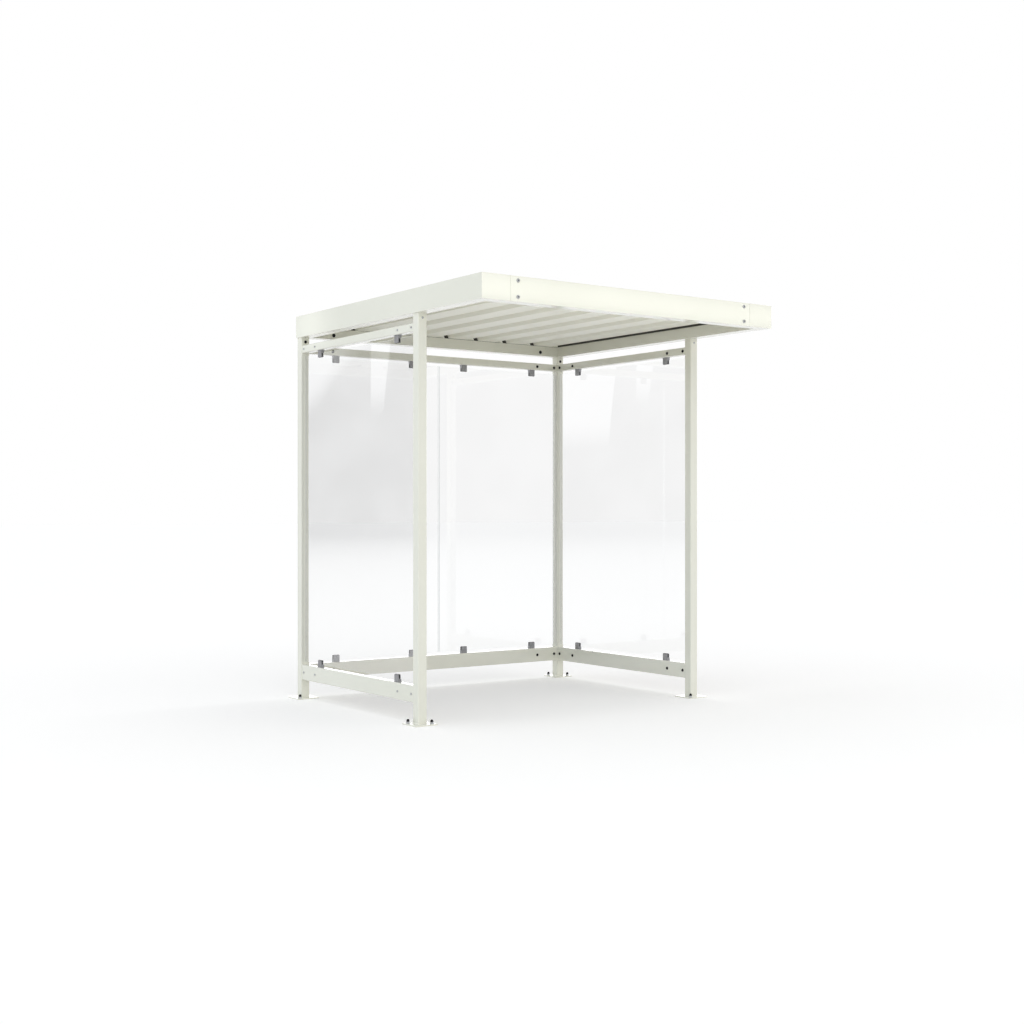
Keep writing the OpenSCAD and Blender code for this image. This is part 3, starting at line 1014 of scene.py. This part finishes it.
around = make("ShaderNodeTexCoord").outputs["Generated"]
wall = ranged(noise(tree, around, FOLIAGE_SCALE, 3.0), 0.35, 0.65, *FOLIAGE)
rear = combined("GREATER_THAN", direction.outputs["Y"], 0.0)
low_side = combined("MULTIPLY", rear, ranged(direction.outputs["X"], *LOW_WALL_SIDE, 0.0, 1.0))
wall_top = combined("MULTIPLY_ADD", low_side, LOW_WALL_TOP - WALL_TOP, WALL_TOP)
for start, end, gap_top in WALL_GAPS:
    opens = ranged(direction.outputs["X"], start - GAP_EDGE, start, 0.0, 1.0)
    closes = ranged(direction.outputs["X"], end, end + GAP_EDGE, 1.0, 0.0)
    gap = combined("MULTIPLY", combined("MULTIPLY", opens, closes), rear)
    wall_top = combined("MULTIPLY_ADD", gap, gap_top - WALL_TOP, wall_top)
over_wall = combined("SUBTRACT", direction.outputs["Z"], wall_top)
sky = ranged(over_wall, -0.02, 0.01, 0.0, 1.0)
reflected = background(SKY)
join(combined("MAXIMUM", wall, sky), reflected.inputs["Strength"])

rays = make("ShaderNodeLightPath")
sharp, glossy = rays.outputs["Is Singular Ray"], rays.outputs["Is Glossy Ray"]
turned_back = combined("GREATER_THAN", rays.outputs["Glossy Depth"], 0.5)
mirrored = combined("MULTIPLY", sharp, turned_back)
straight = combined("SUBTRACT", rays.outputs["Is Transmission Ray"], turned_back)
seen = combined("MAXIMUM", rays.outputs["Is Camera Ray"], combined("MAXIMUM", straight, 0.0))
blurred = combined("MAXIMUM", combined("SUBTRACT", glossy, sharp), 0.0)
backdrop = background((BACKDROP, BACKDROP, BACKDROP))
sheen = background(PLAIN_LIGHT)
far_corner = combined("MULTIPLY", rear, ranged(direction.outputs["X"], 0.0, 0.3, 0.0, 1.0))
low_band = ranged(direction.outputs["Z"], SHEEN_TO, SHEEN_FROM, 1.0, 0.0)
join(combined("MULTIPLY_ADD", combined("MULTIPLY", low_band, far_corner),
              SHEEN_LOW - SHEEN_HIGH, SHEEN_HIGH), sheen.inputs["Strength"])
surface = room.outputs[0]
for factor, shader in ((blurred, sheen), (mirrored, reflected), (seen, backdrop)):
    surface = mixed(factor, surface, shader.outputs[0])
join(surface, make("ShaderNodeOutputWorld").inputs["Surface"])
print("room light: top", LIGHT_TOP, "front", LIGHT_FRONT, "left", LIGHT_LEFT)

# %% [markdown]
# ## Three soft lamps
# Two thin strip lamps at the height of the roof lift its edges from the rest, one along the
# front and a small one by the back left corner. Their narrow spread keeps them off the posts.
# A flat panel on the floor sends light up to the deck, so that its ribs can be read from
# below. None of the lamps shows in the picture or in the glass.

# %% Soft lamps
def soft_lamp(name, place, aim, size, power, spread):
    data = bpy.data.lights.new(name, "AREA")
    data.shape = "RECTANGLE"
    data.size, data.size_y = size
    data.energy = power
    data.spread = math.radians(spread)
    lamp = bpy.data.objects.new(name, data)
    lamp.location = place
    lamp.rotation_euler = (Vector(aim) - Vector(place)).to_track_quat("-Z", "Y").to_euler()
    lamp.visible_glossy = False
    lamp.visible_camera = False
    bpy.context.scene.collection.objects.link(lamp)
    print(name, power, "W")


FRONT_STRIP, LEFT_STRIP, FLOOR_PANEL = 0.48, 0.048, 2.4
FRONT_AWAY, LEFT_AWAY, LEFT_BEHIND, LEFT_AIM = 1.5, 1.6, 0.9, 0.2
FRONT_SIZE, LEFT_SIZE, PANEL_SIZE = (3.4, 0.14), (0.3, 0.1), (2.0, 2.05)
FRONT_SPREAD, LEFT_SPREAD, PANEL_SPREAD = 10, 12, 25
PANEL_HEIGHT, PANEL_AIM = 0.02, 2.0

edge_z = (roof_low.z + roof_high.z) / 2
soft_lamp("front_strip", (0, roof_low.y - FRONT_AWAY, edge_z), (0, roof_low.y, edge_z),
          FRONT_SIZE, FRONT_STRIP, FRONT_SPREAD)
soft_lamp("left_strip", (roof_low.x - LEFT_AWAY, roof_high.y + LEFT_BEHIND, edge_z),
          (roof_low.x, roof_high.y - LEFT_AIM, edge_z), LEFT_SIZE, LEFT_STRIP, LEFT_SPREAD)
roof_y = (roof_low.y + roof_high.y) / 2
soft_lamp("floor_panel", (0, roof_y, PANEL_HEIGHT), (0, roof_y, PANEL_AIM),
          PANEL_SIZE, FLOOR_PANEL, PANEL_SPREAD)

# %% [markdown]
# ## Floor
# The floor is a large pale plane that carries the shelter's soft shadow. For the camera it
# and for the paint's blurred reflections it has a glow of its own, so that the open floor is
# nearly as white as the backdrop and no horizon shows, while the shadow under the roof stays.
# The glow is a little weaker between the walls and a little stronger right behind and to the
# right of them, which gives the shadow its edge; real light would not stop so neatly. In
# mirrored rays the floor fades with the distance into the grey wall, which gives the panes a
# soft change of tone at eye level instead of a hard line. The light that bounces off it is
# that of a plain white floor.

# %% Floor
FLOOR_REACH = 120.0
FLOOR_WHITE = (0.875, 0.865, 0.85)
SEEN_WHITE = (0.81, 0.80, 0.79)
SEEN_GLOW, GLOW_RISE, GLOW_FALL = 0.36, 0.030, 0.016
RISE_BAND, FALL_BAND = (1.3, 3.4), (5.0, 15.0)
WALL_SHADE, BEYOND_WALLS, SHADE_EDGE, SHADE_FRONT = 0.04, 0.045, 0.03, 0.55
MIRROR_NEAR, MIRROR_FAR = 10.0, 70.0
MIRROR_WHITE = 0.92

bm = bmesh.new()
bmesh.ops.create_grid(bm, x_segments=1, y_segments=1, size=FLOOR_REACH)
floor_mesh = bpy.data.meshes.new("floor")
bm.to_mesh(floor_mesh)
bm.free()
floor = bpy.data.objects.new("floor", floor_mesh)
bpy.context.scene.collection.objects.link(floor)
floor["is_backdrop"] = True

floor_paint = bpy.data.materials.new("floor_paint")
floor_paint.use_nodes = True
tree = floor_paint.node_tree
tree.nodes.clear()
make, join = tree.nodes.new, tree.links.new
plain = make("ShaderNodeBsdfDiffuse")
plain.inputs["Color"].default_value = (*FLOOR_WHITE, 1)
shaded = make("ShaderNodeBsdfDiffuse")
shaded.inputs["Color"].default_value = (*SEEN_WHITE, 1)
glow = make("ShaderNodeEmission")
both = make("ShaderNodeAddShader")
join(shaded.outputs[0], both.inputs[0])
join(glow.outputs[0], both.inputs[1])
place = make("ShaderNodeTexCoord").outputs["Object"]
distance = make("ShaderNodeVectorMath")
distance.operation = "LENGTH"
join(place, distance.inputs[0])
spot = make("ShaderNodeSeparateXYZ")
join(place, spot.inputs["Vector"])
wall_x = middle("post_back_right").x
wall_y, open_y = middle("post_back_right").y, middle("post_front_right").y
between_sides = ranged(combined("ABSOLUTE", spot.outputs["X"]), wall_x - SHADE_EDGE, wall_x,
                       1.0, 0.0)
under_back = ranged(spot.outputs["Y"], wall_y - SHADE_EDGE, wall_y, 1.0, 0.0)
past_front = ranged(spot.outputs["Y"], open_y - SHADE_FRONT, open_y, 0.0, 1.0)
inside = combined("MULTIPLY", between_sides, combined("MULTIPLY", under_back, past_front))
rise = ranged(distance.outputs["Value"], *RISE_BAND, 0.0, GLOW_RISE)
fall = ranged(distance.outputs["Value"], *FALL_BAND, SEEN_GLOW, SEEN_GLOW - GLOW_FALL)
to_right = combined("MULTIPLY", past_front,
                    ranged(spot.outputs["X"], wall_x, wall_x + SHADE_EDGE, 0.0, 1.0))
behind = ranged(spot.outputs["Y"], wall_y, wall_y + SHADE_EDGE, 0.0, 1.0)
beyond = combined("MULTIPLY", combined("MAXIMUM", to_right, behind),
                  ranged(distance.outputs["Value"], *RISE_BAND, BEYOND_WALLS, 0.0))
open_floor = combined("ADD", beyond, combined("ADD", rise, fall))
join(combined("MULTIPLY_ADD", inside, -WALL_SHADE, open_floor), glow.inputs["Strength"])
fading = make("ShaderNodeEmission")
join(ranged(distance.outputs["Value"], MIRROR_NEAR, MIRROR_FAR, MIRROR_WHITE, WALL_GREY),
     fading.inputs["Strength"])

rays = make("ShaderNodeLightPath")
turned_back = combined("GREATER_THAN", rays.outputs["Glossy Depth"], 0.5)
mirrored = combined("MULTIPLY", rays.outputs["Is Singular Ray"], turned_back)
direct = combined("MAXIMUM", rays.outputs["Is Camera Ray"], rays.outputs["Is Transmission Ray"])
looked_at = combined("MAXIMUM", direct, rays.outputs["Is Glossy Ray"])
surface = mixed(looked_at, plain.outputs[0], both.outputs[0])
join(mixed(mirrored, surface, fading.outputs[0]),
     make("ShaderNodeOutputMaterial").inputs["Surface"])
floor_mesh.materials.append(floor_paint)
print("floor", 2 * FLOOR_REACH, "m wide")

# %% [markdown]
# ## Size
# The box round every shown part, the floor left out, is measured at the end.

# %% Size
low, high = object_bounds()
